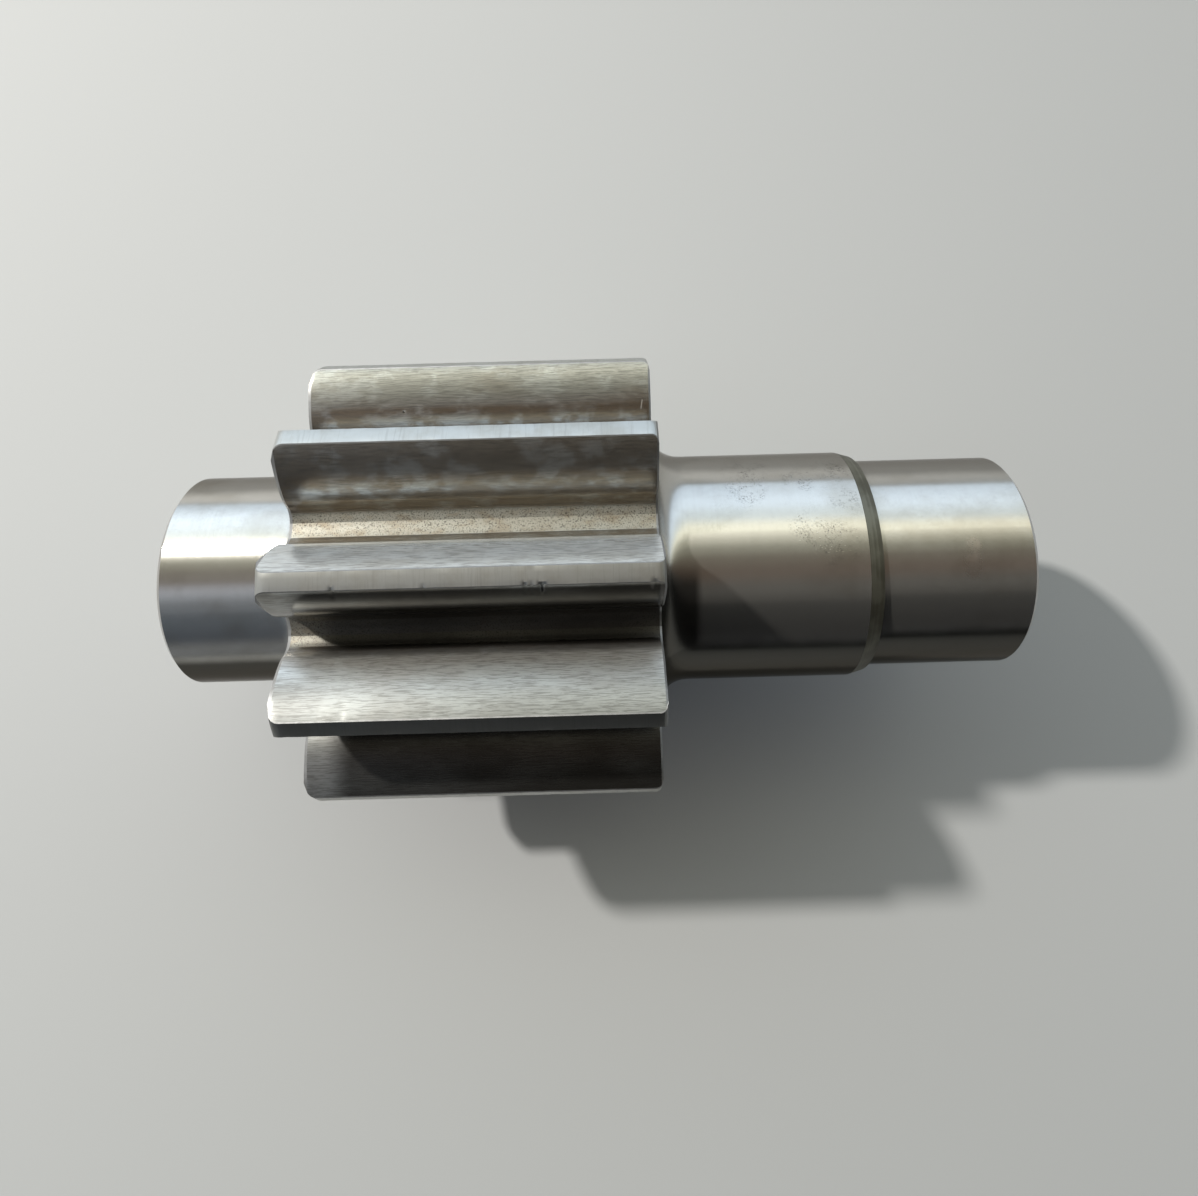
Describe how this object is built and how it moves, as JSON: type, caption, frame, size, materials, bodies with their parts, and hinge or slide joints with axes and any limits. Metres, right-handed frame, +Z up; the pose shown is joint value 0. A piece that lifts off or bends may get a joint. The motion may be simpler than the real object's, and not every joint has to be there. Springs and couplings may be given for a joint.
{
  "type": "pinion gear",
  "caption": "Solid steel spur pinion shaft: wide teeth cut between a short journal and a thicker collar with a second journal.",
  "frame": {"origin": "on the shaft's axis, in the middle of the face width", "axes": "+X along the shaft, towards the collar; +Z up, along the middle of one tooth, with the shaft lying on two teeth; +Y across"},
  "size_m": [0.503, 0.2704, 0.2677],
  "materials": {
    "machined_steel": "bare steel: turned journals and collar, milled tooth flanks, light stains and rust specks"
  },
  "bodies": {
    "root": {"pinion_shaft": "machined_steel"}
  },
  "joints": []
}
